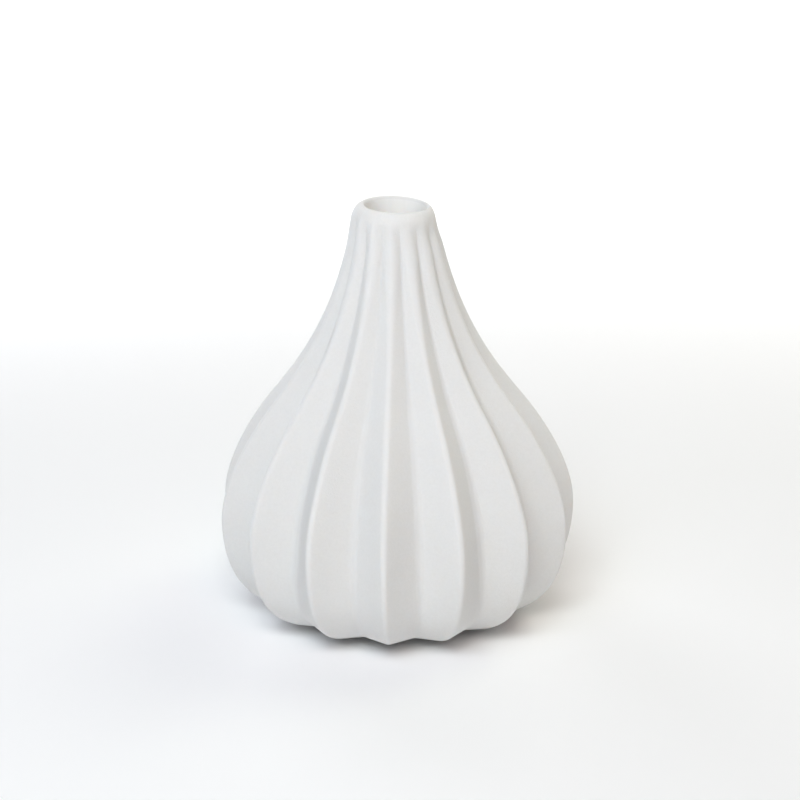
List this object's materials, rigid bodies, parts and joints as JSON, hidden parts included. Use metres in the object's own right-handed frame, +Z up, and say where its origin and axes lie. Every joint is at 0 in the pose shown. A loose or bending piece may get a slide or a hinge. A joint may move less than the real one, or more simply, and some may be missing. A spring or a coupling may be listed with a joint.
{
  "type": "bud vase",
  "caption": "Small matt porcelain bud vase with an onion-shaped fluted body and a narrow round neck, for a single stem.",
  "frame": {"origin": "centre of the foot, on the surface the vase stands on", "axes": "+Z up the vase's own axis to the mouth; one pleat crest faces -Y"},
  "size_m": [0.0994, 0.0989, 0.1165],
  "materials": {
    "bisque_porcelain": "matt",
    "clear_glaze": "gloss"
  },
  "bodies": {
    "root": {"vase_body": "bisque_porcelain", "inner_glaze": "clear_glaze"}
  },
  "joints": []
}
